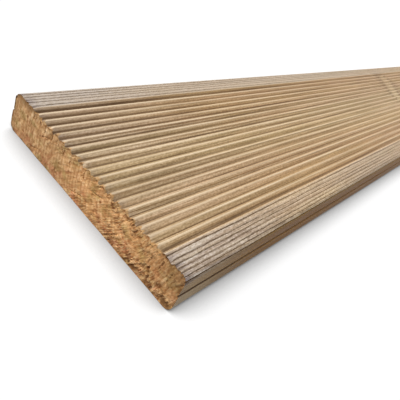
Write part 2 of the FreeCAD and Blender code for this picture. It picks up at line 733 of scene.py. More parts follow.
@dataclass(frozen=True)
class Branches:
    """Branches cut through: a pale heart, a rim of bark and darker wood round it, by radii from the axis."""

    heart: str = "#e0c9a0"
    bark: str = "#6f5032"
    halo_share: Ramp = (2.8, 1.0, 0.0, 0.34)
    heart_share: Ramp = (1.2, 0.5, 0.0, 0.6)
    rim_place: float = 1.15
    rim_share: Ramp = (0.3, 0.0, 0.0, 0.12)

    def over(self, spot: PlanedSpot, wood: Any) -> Any:
        """Add the layer's nodes.

        Args:
            spot: the sockets of a place on the planed faces.
            wood: the socket with the colour so far.

        Returns:
            The socket with the new colour.
        """
        node, knot = spot.node, spot.grain.knot
        halo = node("MapRange", knot, *self.halo_share)
        heart = node("MapRange", knot, *self.heart_share)
        off_rim = node("Math", knot, self.rim_place, operation="SUBTRACT")
        rim = node("MapRange", node("Math", off_rim, operation="ABSOLUTE"), *self.rim_share)
        for share, colour in ((halo, self.bark), (heart, self.heart), (rim, self.bark)):
            wood = node("Mix", {0: share, MIX_A: wood, MIX_B: linear(colour)}, **COLOUR_MIX)
        return wood


@dataclass(frozen=True)
class ReedTints:
    """Slow changes of tint over the reeds: brown to both sides, yellow inside, painted shade on the ends' far
    half.
    """

    brown: str = "#f7ece6"
    brown_across: Ramp = (8.0, 35.0, 0.0, 1.0)
    brown_along: Ramp = (0.0, 110.0, 0.3, 0.8)
    # The yellow starts some way from the end and fades further along, and the margins take less of it
    yellow: str = "#fefbf2"
    yellow_start: Point = (40.0, 160.0)
    yellow_along: Ramp = (220.0, 420.0, 1.0, 0.1)
    yellow_margin: float = -0.7
    # Painted shade: the far half of the reeds is darker near the ends
    dark: str = "#eef0fc"
    shade_across: Point = (2.0, 28.0)
    shade_along: Ramp = (10.0, 120.0, 1.0, 0.15)

    def over(self, spot: PlanedSpot, wood: Any) -> Any:
        """Add the layer's nodes.

        Args:
            spot: the sockets of a place on the planed faces.
            wood: the socket with the colour so far.

        Returns:
            The socket with the new colour.
        """
        node, grain, margin = spot.node, spot.grain, spot.margin
        off_middle = node("Math", grain.across, operation="ABSOLUTE")
        brown = node("MapRange", off_middle, *self.brown_across)
        brown = node("Math", brown, margin, operation="SUBTRACT", use_clamp=True)
        brown = node("Math", brown, node("MapRange", grain.from_end, *self.brown_along), operation="MULTIPLY")
        yellow = node("MapRange", grain.from_end, *self.yellow_along)
        yellow = node("MapRange", grain.from_end, *self.yellow_start, 0.0, yellow)
        yellow = node("Math", margin, self.yellow_margin, yellow, operation="MULTIPLY_ADD", use_clamp=True)
        dark = node("MapRange", grain.from_end, *self.shade_along)
        dark = node("MapRange", grain.across, *self.shade_across, 0.0, dark)
        dark = node("Math", dark, margin, operation="SUBTRACT", use_clamp=True)
        for share, tint in ((brown, self.brown), (yellow, self.yellow), (dark, self.dark)):
            tinted = {0: share, MIX_A: wood, MIX_B: linear(tint)}
            wood = node("Mix", tinted, blend_type="MULTIPLY", **COLOUR_MIX)
        return wood


@dataclass(frozen=True)
class WeatheredMargins:
    """Weathered margins: lilac-grey and bleached streaks, strongest near the ends and on the far margin."""

    lilac: str = "#a59284"
    bleached: str = "#ddd0bf"
    # How much lighter the margins are, by the distance from the end and on the far one
    lighter: Ramp = (20.0, 120.0, -0.04, 0.04)
    far_lighter: float = -0.15
    grey_streak: Ramp = (0.36, 0.56, 0.6, 1.0)
    grey_along: Ramp = (10.0, 105.0, 0.95, 0.33)
    far_grey: float = 0.8
    bleach: Size = (30.0, 1.3, 1.3)
    bleach_share: Ramp = (0.4, 0.62, 0.05, 0.75)
    far_bleach: float = 0.5
    far_most: float = 0.4
    # A grey stretch of the near margin, towards its side
    stretch_across: Ramp = (-40.0, -60.0, 0.0, 0.36)
    stretch_start: Point = (150.0, 220.0)
    stretch_end: Ramp = (270.0, 360.0, 1.0, 0.3)

    def over(self, spot: PlanedSpot, wood: Any) -> Any:
        """Add the layer's nodes.

        Args:
            spot: the sockets of a place on the planed faces.
            wood: the socket with the colour so far.

        Returns:
            The socket with the new colour.
        """
        node, grain, margin, far = spot.node, spot.grain, spot.margin, spot.far
        lighter = node("MapRange", grain.from_end, *self.lighter)
        lighter = node("Math", far, self.far_lighter, lighter, operation="MULTIPLY_ADD")
        lighter = node("Math", lighter, margin, 1.0, operation="MULTIPLY_ADD")
        wood = node("VectorMath", wood, {"Scale": lighter}, operation="SCALE")
        grey = node("MapRange", spot.weather, *self.grey_streak)
        grey = node("Math", grey, node("MapRange", grain.from_end, *self.grey_along), operation="MULTIPLY")
        grey = node("Math", far, self.far_grey, grey, operation="MULTIPLY_ADD", use_clamp=True)
        grey = node("Math", grey, margin, operation="MULTIPLY")
        bleach = mottle(node, grain.at, self.bleach, self.bleach_share)
        bleach = node("MapRange", far, 0.0, self.far_most, bleach, self.far_bleach)
        colour = {0: bleach, MIX_A: linear(self.lilac), MIX_B: linear(self.bleached)}
        wood = node("Mix", {0: grey, MIX_A: wood, MIX_B: node("Mix", colour, **COLOUR_MIX)}, **COLOUR_MIX)
        stretch = node("MapRange", grain.across, *self.stretch_across)
        stretch = node("MapRange", grain.from_end, *self.stretch_start, 0.0, stretch)
        end = node("MapRange", grain.from_end, *self.stretch_end)
        for share in (end, margin):
            stretch = node("Math", stretch, share, operation="MULTIPLY")
        return node("Mix", {0: stretch, MIX_A: wood, MIX_B: linear(self.lilac)}, **COLOUR_MIX)


@dataclass(frozen=True)
class SoakedEnds:
    """Dark streaks where water has crept in from the ends, stronger on the margins than on the reeds."""

    soaked: str = "#66575c"
    along: Ramp = (0.0, 7.5, 1.0, 0.0)
    streak: Ramp = (0.4, 0.62, 0.15, 1.0)
    on_reeds_and_margin: Point = (0.45, 0.85)

    def over(self, spot: PlanedSpot, wood: Any) -> Any:
        """Add the layer's nodes.

        Args:
            spot: the sockets of a place on the planed faces.
            wood: the socket with the colour so far.

        Returns:
            The socket with the new colour.
        """
        node = spot.node
        soak = node("MapRange", spot.grain.from_end, *self.along)
        streak = node("MapRange", spot.weather, *self.streak)
        crept = node("MapRange", spot.margin, 0.0, 1.0, *self.on_reeds_and_margin)
        for share in (streak, crept):
            soak = node("Math", soak, share, operation="MULTIPLY")
        return node("Mix", {0: soak, MIX_A: wood, MIX_B: linear(self.soaked)}, **COLOUR_MIX)


@dataclass(frozen=True)
class RaisedFuzz:
    """Specks of light and dark where short fibres stand up, stronger on the margins than on the reeds."""

    fuzz: Size = (1.8, 0.9, 0.9)
    on_reeds_and_margin: Point = (1.3, 1.55)
    warmth: Point = PINE_WARMTH

    def over(self, spot: PlanedSpot, wood: Any) -> Any:
        """Add the layer's nodes.

        Args:
            spot: the sockets of a place on the planed faces.
            wood: the socket with the colour so far.

        Returns:
            The socket with the new colour.
        """
        node = spot.node
        fuzz = mottle(node, spot.grain.at, self.fuzz)
        fuzz = node("Math", fuzz, PATTERN_MIDDLE, operation="SUBTRACT")
        strength = node("MapRange", spot.margin, 0.0, 1.0, *self.on_reeds_and_margin)
        fuzz = node("Math", fuzz, strength, operation="MULTIPLY")
        shade = node("Math", fuzz, spot.lively, 1.0, operation="MULTIPLY_ADD")
        return shaded(node, wood, shade, self.warmth)


@dataclass(frozen=True)
class RubbedAndHighlightedCrests:
    """The reeds' crests, rubbed pale in patches and less so further along: partly wear, partly a painted
    highlight.
    """

    rubbed_and_highlight: str = "#f1dab9"
    crest_share: Ramp = (0.22, 0.0, 0.0, 1.0)
    wear: Size = (150.0, 6.5, 30.0)
    wear_share: Ramp = (0.36, 0.64, 0.6, 1.4)
    along: Ramp = (120.0, 450.0, 0.62, 0.34)

    def over(self, spot: PlanedSpot, wood: Any) -> Any:
        """Add the layer's nodes.

        Args:
            spot: the sockets of a place on the planed faces.
            wood: the socket with the colour so far.

        Returns:
            The socket with the new colour.
        """
        node = spot.node
        rubbed_and_highlight = node("MapRange", spot.hollow, *self.crest_share)
        rubbed_and_highlight = node("Math", rubbed_and_highlight, spot.off_reeds, operation="SUBTRACT", use_clamp=True)
        wear = mottle(node, spot.grain.at, self.wear, self.wear_share)
        wear = node("Math", wear, node("MapRange", spot.grain.from_end, *self.along), operation="MULTIPLY")
        rubbed_and_highlight = node("Math", rubbed_and_highlight, wear, operation="MULTIPLY")
        return node("Mix", {0: rubbed_and_highlight, MIX_A: wood, MIX_B: linear(self.rubbed_and_highlight)}, **COLOUR_MIX)


@dataclass(frozen=True)
class StainedSides:
    """Sides stained yellow-brown by the treatment, with painted light on the lower band beside the ends."""

    stain: str = "#bf9f4c"
    low_band_light: str = EARLY_PINE
    stain_along: Ramp = (0.0, 70.0, 0.25, 1.0)
    # Painted light: beside the ends the lower band is spared the stain and given pale wood
    low_band: Ramp = (13.0, 12.0, 0.0, 1.0)
    spared_for_light_along: Ramp = (0.0, 45.0, 0.55, 0.0)
    low_band_light_along: Ramp = (0.0, 30.0, 0.5, 0.0)

    def over(self, spot: PlanedSpot, wood: Any) -> Any:
        """Add the layer's nodes.

        Args:
            spot: the sockets of a place on the planed faces.
            wood: the socket with the colour so far.

        Returns:
            The socket with the new colour.
        """
        node, grain, side = spot.node, spot.grain, spot.side
        low = node("MapRange", grain.up, *self.low_band)
        spared_for_light = node("Math", low, node("MapRange", grain.from_end, *self.spared_for_light_along), operation="MULTIPLY")
        stain = node("MapRange", grain.from_end, *self.stain_along)
        stain = node("Math", stain, spared_for_light, operation="SUBTRACT", use_clamp=True)
        stain = node("Math", side, stain, operation="MULTIPLY")
        stained = {0: stain, MIX_A: wood, MIX_B: linear(self.stain)}
        wood = node("Mix", stained, blend_type="MULTIPLY", **COLOUR_MIX)
        low_band_light = node("MapRange", grain.from_end, *self.low_band_light_along)
        for share in (low, side):
            low_band_light = node("Math", low_band_light, share, operation="MULTIPLY")
        return node("Mix", {0: low_band_light, MIX_A: wood, MIX_B: linear(self.low_band_light)}, **COLOUR_MIX)


@dataclass(frozen=True)
class GrooveDirtAndShade:
    """Painted shade on the reeds' flanks; dirt, and deep down painted shade, in the roots, fine grooves and
    quirk.
    """

    dirt_and_shade: str = "#583d22"
    warmth: Point = PINE_WARMTH
    # Painted shade on the reeds' flanks: how dark it makes the near half, and the far half by the distance
    # from the end
    flank_shade_across: Point = (8.0, 35.0)
    near_flank_shade: float = 0.74
    far_flank_shade: Ramp = (10.0, 80.0, 0.52, 0.78)
    flank_shade_depth: Point = (0.3, 1.25)
    flank_shade_along: Ramp = (120.0, 450.0, 1.0, 0.6)
    # Grooves are clogged alike at the end and each in its own way further along, which also scales the
    # painted flank shade
    clog: Size = (240.0, 6.0, 30.0)
    clog_share: Ramp = (0.36, 0.64, 0.3, 1.25)
    clog_along: Point = (30.0, 140.0)
    # The depth in a hollow where the dirt and painted shade start and where they are full, on the walking
    # face and on the sides
    dirt_shade_start: Point = (0.72, 0.0)
    dirt_shade_full: Point = (1.08, 0.35)
    # Lines of dirt that wander about the fine grooves
    wander: Size = (12.0, 3.0, 3.0)
    wander_reach: Ramp = (0.35, 0.65, -0.55, 0.55)
    line_share: Ramp = (0.42, 0.08, 0.0, 0.85)
    line_along: Ramp = (50.0, 300.0, 1.0, 0.2)
    # The share of it that rain has left: in streaks, more or less on the sides and less along the board, and
    # what rain took off the far margin
    streak: Ramp = (0.35, 0.62, 0.55, 0.9)
    side_along: Ramp = (5.0, 90.0, 0.4, -0.3)
    left_along: Ramp = (60.0, 420.0, 1.0, 0.4)
    far_washed: Ramp = (0.0, 60.0, 0.9, 2.3)

    def over(self, spot: PlanedSpot, wood: Any) -> Any:
        """Add the layer's nodes.

        Args:
            spot: the sockets of a place on the planed faces.
            wood: the socket with the colour so far.

        Returns:
            The socket with the new colour.
        """
        node, grain = spot.node, spot.grain
        clogged = mottle(node, grain.at, self.clog, self.clog_share)
        clogged = node("MapRange", grain.from_end, *self.clog_along, 1.0, clogged)
        wood = shaded(node, wood, self.painted_flank_shade(spot, clogged), self.warmth)
        start = node("MapRange", spot.side, 0.0, 1.0, *self.dirt_shade_start)
        full = node("MapRange", spot.side, 0.0, 1.0, *self.dirt_shade_full)
        dirt_and_shade = node("MapRange", spot.hollow, start, full, 0.0, 1.0, interpolation_type="SMOOTHSTEP")
        dirt_and_shade = node("Math", dirt_and_shade, self.lines(spot), operation="MAXIMUM")
        streak = node("MapRange", spot.weather, *self.streak)
        on_side = node("MapRange", grain.from_end, *self.side_along)
        streak = node("Math", on_side, spot.side, streak, operation="MULTIPLY_ADD", use_clamp=True)
        left = node("MapRange", grain.from_end, *self.left_along)
        washed = node("MapRange", grain.from_end, *self.far_washed)
        for share in (spot.far, spot.margin):
            washed = node("Math", washed, share, operation="MULTIPLY")
        left = node("Math", left, washed, operation="SUBTRACT")
        for share in (streak, left, clogged):
            dirt_and_shade = node("Math", dirt_and_shade, share, operation="MULTIPLY")
        return node("Mix", {0: dirt_and_shade, MIX_A: wood, MIX_B: linear(self.dirt_and_shade)}, **COLOUR_MIX)

    def painted_flank_shade(self, spot: PlanedSpot, clogged: Any) -> Any:
        """Add the nodes that paint shade on the reeds' flanks.

        Args:
            spot: the sockets of a place on the planed faces.
            clogged: the socket that says how clogged the hollow is.

        Returns:
            The socket with the shade.
        """
        node, grain = spot.node, spot.grain
        painted_flank_shade = node("MapRange", grain.from_end, *self.far_flank_shade)
        painted_flank_shade = node("MapRange", grain.across, *self.flank_shade_across, self.near_flank_shade, painted_flank_shade)
        strength = node("MapRange", grain.from_end, *self.flank_shade_along)
        strength = node("Math", strength, clogged, operation="MULTIPLY")
        painted_flank_shade = node("Math", painted_flank_shade, 1.0, operation="SUBTRACT")
        painted_flank_shade = node("Math", painted_flank_shade, strength, 1.0, operation="MULTIPLY_ADD")
        return node("MapRange", spot.hollow, *self.flank_shade_depth, 1.0, painted_flank_shade)

    def lines(self, spot: PlanedSpot) -> Any:
        """Add the nodes for the lines of dirt along the fine grooves.

        Args:
            spot: the sockets of a place on the planed faces.

        Returns:
            The socket with the lines' share.
        """
        node = spot.node
        wander = mottle(node, spot.grain.at, self.wander, self.wander_reach, detail=3.0)
        strayed = node("Math", node("Math", spot.trace, wander, operation="ADD"), operation="ABSOLUTE")
        line = node("MapRange", strayed, *self.line_share)
        along = node("MapRange", spot.grain.from_end, *self.line_along)
        for share in (spot.margin, along):
            line = node("Math", line, share, operation="MULTIPLY")
        return line


@dataclass(frozen=True)
class FrayedTips:
    """The tips of the reeds at the ends, where bitten-off fibres show the fresh colour of the cut."""

    fresh: str = "#c99b63"
    bite: Size = (8.0, 2.4, 2.4)
    bite_reach: Ramp = (0.44, 0.7, 0.4, 3.6)
    full_share: float = 0.45
    strength: float = 0.8

    def over(self, spot: PlanedSpot, wood: Any) -> Any:
        """Add the layer's nodes.

        Args:
            spot: the sockets of a place on the planed faces.
            wood: the socket with the colour so far.

        Returns:
            The socket with the new colour.
        """
        node = spot.node
        bite = mottle(node, spot.grain.at, self.bite, self.bite_reach)
        full = node("Math", bite, self.full_share, operation="MULTIPLY")
        fresh = node("MapRange", spot.grain.from_end, bite, full, 0.0, self.strength)
        fresh = node("Math", fresh, spot.off_reeds, operation="SUBTRACT", use_clamp=True)
        return node("Mix", {0: fresh, MIX_A: wood, MIX_B: linear(self.fresh)}, **COLOUR_MIX)


@dataclass(frozen=True)
class PlanedPine:
    """Pressure-treated pine, planed: matt, with dull brown-green in the wood and fine streaks of fibre."""

    name: str = "planed_treated_pine"
    rings: YearRings = YearRings(
        early_wood=EARLY_PINE,
        mid_wood="#cbae89",
        late_wood="#94704a",
        stops=(
            (0.0, Season.MID),
            (1.0, Season.MID),
            (0.18, Season.EARLY),
            (0.55, Season.EARLY),
            (0.76, Season.LATE),
            (0.94, Season.LATE),
        ),
        faintness=(0.25, 0.85),
    )
    layers: tuple[Layer, ...] = (
        FibreFigure(),
        Branches(),
        ReedTints(),
        WeatheredMargins(),
        SoakedEnds(),
        RaisedFuzz(),
        RubbedAndHighlightedCrests(),
        StainedSides(),
        GrooveDirtAndShade(),
        FrayedTips(),
    )
    # A softwood fibre is about 0.03 mm wide, too fine to show, so bundles of them are drawn as streaks
    streak: Size = (60.0, 0.8, 0.8)
    weather: Size = (55.0, 1.8, 1.8)
    # The far margin, where it starts across and how much of its own look it has along the board
    far_across: Point = (40.0, 60.0)
    far_along: Ramp = (350.0, 650.0, 0.4, 0.1)
    far_faint: float = 1.2
    far_lively: float = -0.9
    lively_along: Ramp = (100.0, 400.0, 1.0, 0.55)
    roughness: Ramp = (0.3, 0.7, 0.52, 0.7)
    ior: float = 1.53
    specular: float = 0.3
    ring_height: float = 0.35
    streak_height: float = 0.3
    relief: float = 0.6

    def make(self, growth: Growth) -> bpy.types.Material:
        """Make the material of the planed faces.

        Args:
            growth: the tree's rings and branches.

        Returns:
            The material.
        """
        material, node = start_material(self.name)
        spot = self.spot(node, growth.grain(node))
        worn = node("Math", spot.far, self.far_faint, operation="MULTIPLY")
        wood = self.rings.wood(node, spot.grain, worn)
        for layer in self.layers:
            wood = layer.over(spot, wood)
        rough = node("MapRange", spot.fibre, *self.roughness)
        height = node("Math", spot.grain.phase, self.ring_height, spot.fibre, operation="MULTIPLY_ADD")
        bump = {"Strength": self.relief, "Distance": self.streak_height * MM, "Height": height}
        shine = {"Roughness": rough, "IOR": self.ior, "Specular IOR Level": self.specular}
        shader = node("BsdfPrincipled", {"Base Color": wood, "Normal": node("Bump", bump), **shine})
        node("OutputMaterial", shader, out=None)
        return material

    def spot(self, node: Adder, grain: Grain) -> PlanedSpot:
        """Add the nodes that say what a place on the planed faces is like.

        Args:
            node: the function that adds a node.
            grain: the sockets of the place and the tree's growth.

        Returns:
            The sockets.
        """
        hollow, margin, side, trace = (
            node("Attribute", attribute_name=mark.value, out="Fac") for mark in PLANED_MARKS
        )
        far = node("MapRange", grain.from_end, *self.far_along)
        far = node("MapRange", grain.across, *self.far_across, 0.0, far)
        lively = node("MapRange", grain.from_end, *self.lively_along)
        return PlanedSpot(
            node=node,
            grain=grain,
            hollow=hollow,
            margin=margin,
            side=side,
            trace=trace,
            off_reeds=node("Math", margin, side, operation="MAXIMUM"),
            far=far,
            lively=node("Math", far, self.far_lively, lively, operation="MULTIPLY_ADD"),
            weather=mottle(node, grain.at, self.weather, detail=3.0),
            fibre=mottle(node, grain.at, self.streak, detail=3.0),
        )


@dataclass(frozen=True)
class SawStrokes:
    """The saw's strokes over an end, which lean between its sides and stand nearly upright beside them.

    A lean says how far a stroke moves across for each millimetre up. It changes between the two near places
    and again between the two far ones, which are across, in millimetres.
    """

    near_lean: float = 0.3
    middle_lean: float = 1.1
    far_lean: float = 0.15
    near_places: Point = (-60.0, -20.0)
    far_places: Point = (10.0, 45.0)

    def lean(self, across: np.ndarray) -> np.ndarray:
        """The lean at each place across, for the mesh."""
        leans = (self.near_lean, self.middle_lean, self.middle_lean, self.far_lean)
        return np.interp(across, (*self.near_places, *self.far_places), leans)

    def along(self, node: Adder, grain: Grain) -> Any:
        """Add the nodes that give each place on an end its place along the strokes.

        Args:
            node: the function that adds a node.
            grain: the sockets of the place and the tree's growth.

        Returns:
            The socket with the place, in millimetres.
        """
        near = node("MapRange", grain.across, *self.near_places, self.near_lean, self.middle_lean)
        far = node("MapRange", grain.across, *self.far_places, self.middle_lean, self.far_lean)
        lean = node("Math", near, far, operation="MINIMUM")
        skewed = node("Math", grain.up, lean, grain.across, operation="MULTIPLY_ADD")
        return node("CombineXYZ", 0.0, skewed, grain.up)


@dataclass
class SawnSpot:
    """The function that adds a node, and the sockets that say what a place on the sawn ends is like.

    After the grain come the three marks that the mesh carries: how deep the place lies, how near the rim it
    is and how torn it is. The others are its place along the saw's strokes and the height of its fibres.
    """

    node: Adder
    grain: Grain
    pit: Any
    rim: Any
    torn: Any
    stroke: Any
    height: Any


@dataclass(frozen=True)
class EndStains:
    """Patches on the end grain: reddish ones, most of them low down, and olive ones."""

    red: str = "#c47c50"
    olive: str = "#a98a4c"
    patch: Size = (10.0, 10.0, 7.0)
    red_share: Ramp = (0.47, 0.63, 0.0, 0.9)
    red_up: Ramp = (18.0, 4.0, 0.25, 1.0)
    olive_shift: Size = (0.0, 40.0, 9.0)
    olive_share: Ramp = (0.5, 0.65, 0.0, 0.6)

    def over(self, spot: SawnSpot, wood: Any) -> Any:
        """Add the layer's nodes.

        Args:
            spot: the sockets of a place on the sawn ends.
            wood: the socket with the colour so far.

        Returns:
            The socket with the new colour.
        """
        node, grain = spot.node, spot.grain
        red = mottle(node, grain.at, self.patch, self.red_share)
        red = node("Math", red, node("MapRange", grain.up, *self.red_up), operation="MULTIPLY")
        wood = node("Mix", {0: red, MIX_A: wood, MIX_B: linear(self.red)}, **COLOUR_MIX)
        aside = node("VectorMath", grain.at, self.olive_shift)
        olive = mottle(node, aside, self.patch, self.olive_share)
        return node("Mix", {0: olive, MIX_A: wood, MIX_B: linear(self.olive)}, **COLOUR_MIX)


@dataclass(frozen=True)
class TornFibre:
    """Clumps of fibre along the saw's strokes, with dark gaps and holes and pale wisps where most is torn."""

    dark: str = TORN_DARK
    pale: str = TORN_PALE
    warmth: Point = (0.72, 1.35)
    # How strongly the fibres' height shows as painted light and shade, by how torn they are and in patches
    strength: Point = (0.5, 1.1)
    strong_patch: Size = (1.0, 8.0, 6.0)
    strong_share: Ramp = (0.36, 0.62, 0.5, 1.3)
    middle_height: float = 1.0
    height_shade: Ramp = (-0.3, 0.3, 0.2, 1.8)
    tone: Size = (1.0, 9.0, 6.0)
    tone_shade: Ramp = (0.35, 0.65, 0.84, 1.16)
    # Painted shade: the far half is a little darker and duller
    far_half_shade: str = "#e6ebf1"
    far_across: Ramp = (2.0, 30.0, 0.0, 1.0)
    tuft: Size = (1.0, 2.2, 5.0)
    gap_share: Ramp = (0.12, 0.0, 0.0, 1.0)
    gap_torn: Ramp = (0.15, 0.8, 0.0, 0.7)
    hole: Size = (1.0, 1.3, 3.4)
    hole_share: Ramp = (0.58, 0.68, 0.0, 0.85)
    hole_torn: Ramp = (0.1, 0.7, 0.4, 1.0)
    wisp_shift: Size = (0.0, 55.0, 12.0)
    wisp_share: Ramp = (0.54, 0.66, 0.0, 0.7)
    wisp_torn: Ramp = (0.1, 0.7, 0.15, 1.0)

    def over(self, spot: SawnSpot, wood: Any) -> Any:
        """Add the layer's nodes.

        Args:
            spot: the sockets of a place on the sawn ends.
            wood: the socket with the colour so far.

        Returns:
            The socket with the new colour.
        """
        node, grain, torn = spot.node, spot.grain, spot.torn
        strength = node("MapRange", torn, 0.0, 1.0, *self.strength)
        strong = mottle(node, grain.at, self.strong_patch, self.strong_share)
        strength = node("Math", strength, strong, operation="MULTIPLY")
        swing = node("Math", spot.height, self.middle_height, operation="SUBTRACT")
        swing = node("Math", swing, strength, operation="MULTIPLY")
        shade = node("MapRange", swing, *self.height_shade)
        shade = node("Math", shade, mottle(node, grain.at, self.tone, self.tone_shade), operation="MULTIPLY")
        wood = shaded(node, wood, shade, self.warmth)
        far = node("MapRange", grain.across, *self.far_across)
        far_shaded = {0: far, MIX_A: wood, MIX_B: linear(self.far_half_shade)}
        wood = node("Mix", far_shaded, blend_type="MULTIPLY", **COLOUR_MIX)
        tuft = tuple(1.0 / length for length in self.tuft)
        tufts = node("VectorMath", spot.stroke, tuft, operation="MULTIPLY")
        edge = node("TexVoronoi", tufts, {"Scale": 1.0}, feature="DISTANCE_TO_EDGE", out="Distance")
        gap = node("MapRange", edge, *self.gap_share)
        gap = node("Math", gap, node("MapRange", torn, *self.gap_torn), operation="MULTIPLY")
        hole = mottle(node, spot.stroke, self.hole, self.hole_share, detail=1.0)
        hole = node("Math", hole, node("MapRange", torn, *self.hole_torn), operation="MULTIPLY")
        hole = node("Math", hole, gap, operation="MAXIMUM")
        wood = node("Mix", {0: hole, MIX_A: wood, MIX_B: linear(self.dark)}, **COLOUR_MIX)
        aside = node("VectorMath", spot.stroke, self.wisp_shift)
        wisp = mottle(node, aside, self.hole, self.wisp_share, detail=1.0)
        wisp = node("Math", wisp, node("MapRange", torn, *self.wisp_torn), operation="MULTIPLY")
        return node("Mix", {0: wisp, MIX_A: wood, MIX_B: linear(self.pale)}, **COLOUR_MIX)


@dataclass(frozen=True)
class PithAndPits:
    """The dark pith, the dark of the pits and splits, partly painted shade by depth, and pale tips of torn
    fibres.
    """

    pith: str = "#8a5a2c"
    dark: str = TORN_DARK
    pale: str = TORN_PALE
    pith_share: Ramp = (3.0, 0.6, 0.0, 0.45)
    # Painted shade: the deeper a place on the end lies, the darker it is
    pit_shade_share: Ramp = (0.32, 0.75, 0.0, 0.8)
    tip_share: Ramp = (0.15, 0.0, 0.0, 0.8)

    def over(self, spot: SawnSpot, wood: Any) -> Any:
        """Add the layer's nodes.

        Args:
            spot: the sockets of a place on the sawn ends.
            wood: the socket with the colour so far.

        Returns:
            The socket with the new colour.
        """
        node = spot.node
        pith = node("MapRange", spot.grain.from_pith, *self.pith_share)
        pit = node("MapRange", spot.pit, *self.pit_shade_share)
        tip = node("Math", node("MapRange", spot.pit, *self.tip_share), spot.torn, operation="MULTIPLY")
        for share, colour in ((pith, self.pith), (pit, self.dark), (tip, self.pale)):
            wood = node("Mix", {0: share, MIX_A: wood, MIX_B: linear(colour)}, **COLOUR_MIX)
        return wood


@dataclass(frozen=True)
class EndGrimeAndShade:
    """Grime and painted shade on an end: along its rim, under the walking face, over the near side and the
    foot.
    """

    grime_and_shade: str = "#7d5a33"
    # Along the rim grime and painted shade lie in patches, with less in the middle than at the two sides and
    # more along the foot
    patch: Size = (5.0, 5.0, 3.0)
    patch_share: Ramp = (0.35, 0.6, 0.3, 0.95)
    far_rim: Ramp = (42.0, 58.0, -0.5, 0.6)
    near_rim: Ramp = (-46.0, -56.0, 0.0, 0.7)
    foot: Ramp = (4.5, 1.0, 0.0, 0.45)
    # The band of grime and painted shade under the walking face reaches further down at the far side
    band_across: Ramp = (48.0, 58.0, 0.0, 2.6)
    band_level: float = 22.6
    band_share: Ramp = (-0.4, 3.2, 0.0, 0.75)
    # Smears of grime and painted shade over the near side, along the foot and on the near lower corner: a
    # share across times one up
    smears: tuple[tuple[Ramp, Ramp], ...] = (
        ((-42.0, -68.0, 0.0, 0.36), (8.0, 17.0, 0.8, 1.8)),
        ((20.0, -40.0, 0.15, 1.0), (5.0, 0.5, 0.0, 0.4)),
        ((-58.0, -67.0, 0.0, 1.0), (7.0, 2.0, 0.0, 0.7)),
    )

    def over(self, spot: SawnSpot, wood: Any) -> Any:
        """Add the layer's nodes.

        Args:
            spot: the sockets of a place on the sawn ends.
            wood: the socket with the colour so far.

        Returns:
            The socket with the new colour.
        """
        node, across, up = spot.node, spot.grain.across, spot.grain.up
        patch = mottle(node, spot.grain.at, self.patch, self.patch_share)
        patch = node("Math", patch, node("MapRange", across, *self.far_rim), operation="ADD")
        near = node("MapRange", across, *self.near_rim)
        patch = node("Math", patch, near, operation="ADD", use_clamp=True)
        grime_and_shade = node("Math", patch, node("MapRange", up, *self.foot), operation="ADD")
        grime_and_shade = node("Math", grime_and_shade, spot.rim, operation="MULTIPLY")
        lower = node("MapRange", across, *self.band_across)
        band = node("Math", node("Math", up, self.band_level, operation="SUBTRACT"), lower, operation="ADD")
        grime_and_shade = node("Math", grime_and_shade, node("MapRange", band, *self.band_share), operation="MAXIMUM")
        for smear_across, smear_up in self.smears:
            smear = node("MapRange", across, *smear_across)
            smear = node("Math", smear, node("MapRange", up, *smear_up), operation="MULTIPLY")
            grime_and_shade = node("Math", grime_and_shade, smear, operation="MAXIMUM")
        return node("Mix", {0: grime_and_shade, MIX_A: wood, MIX_B: linear(self.grime_and_shade)}, **COLOUR_MIX)


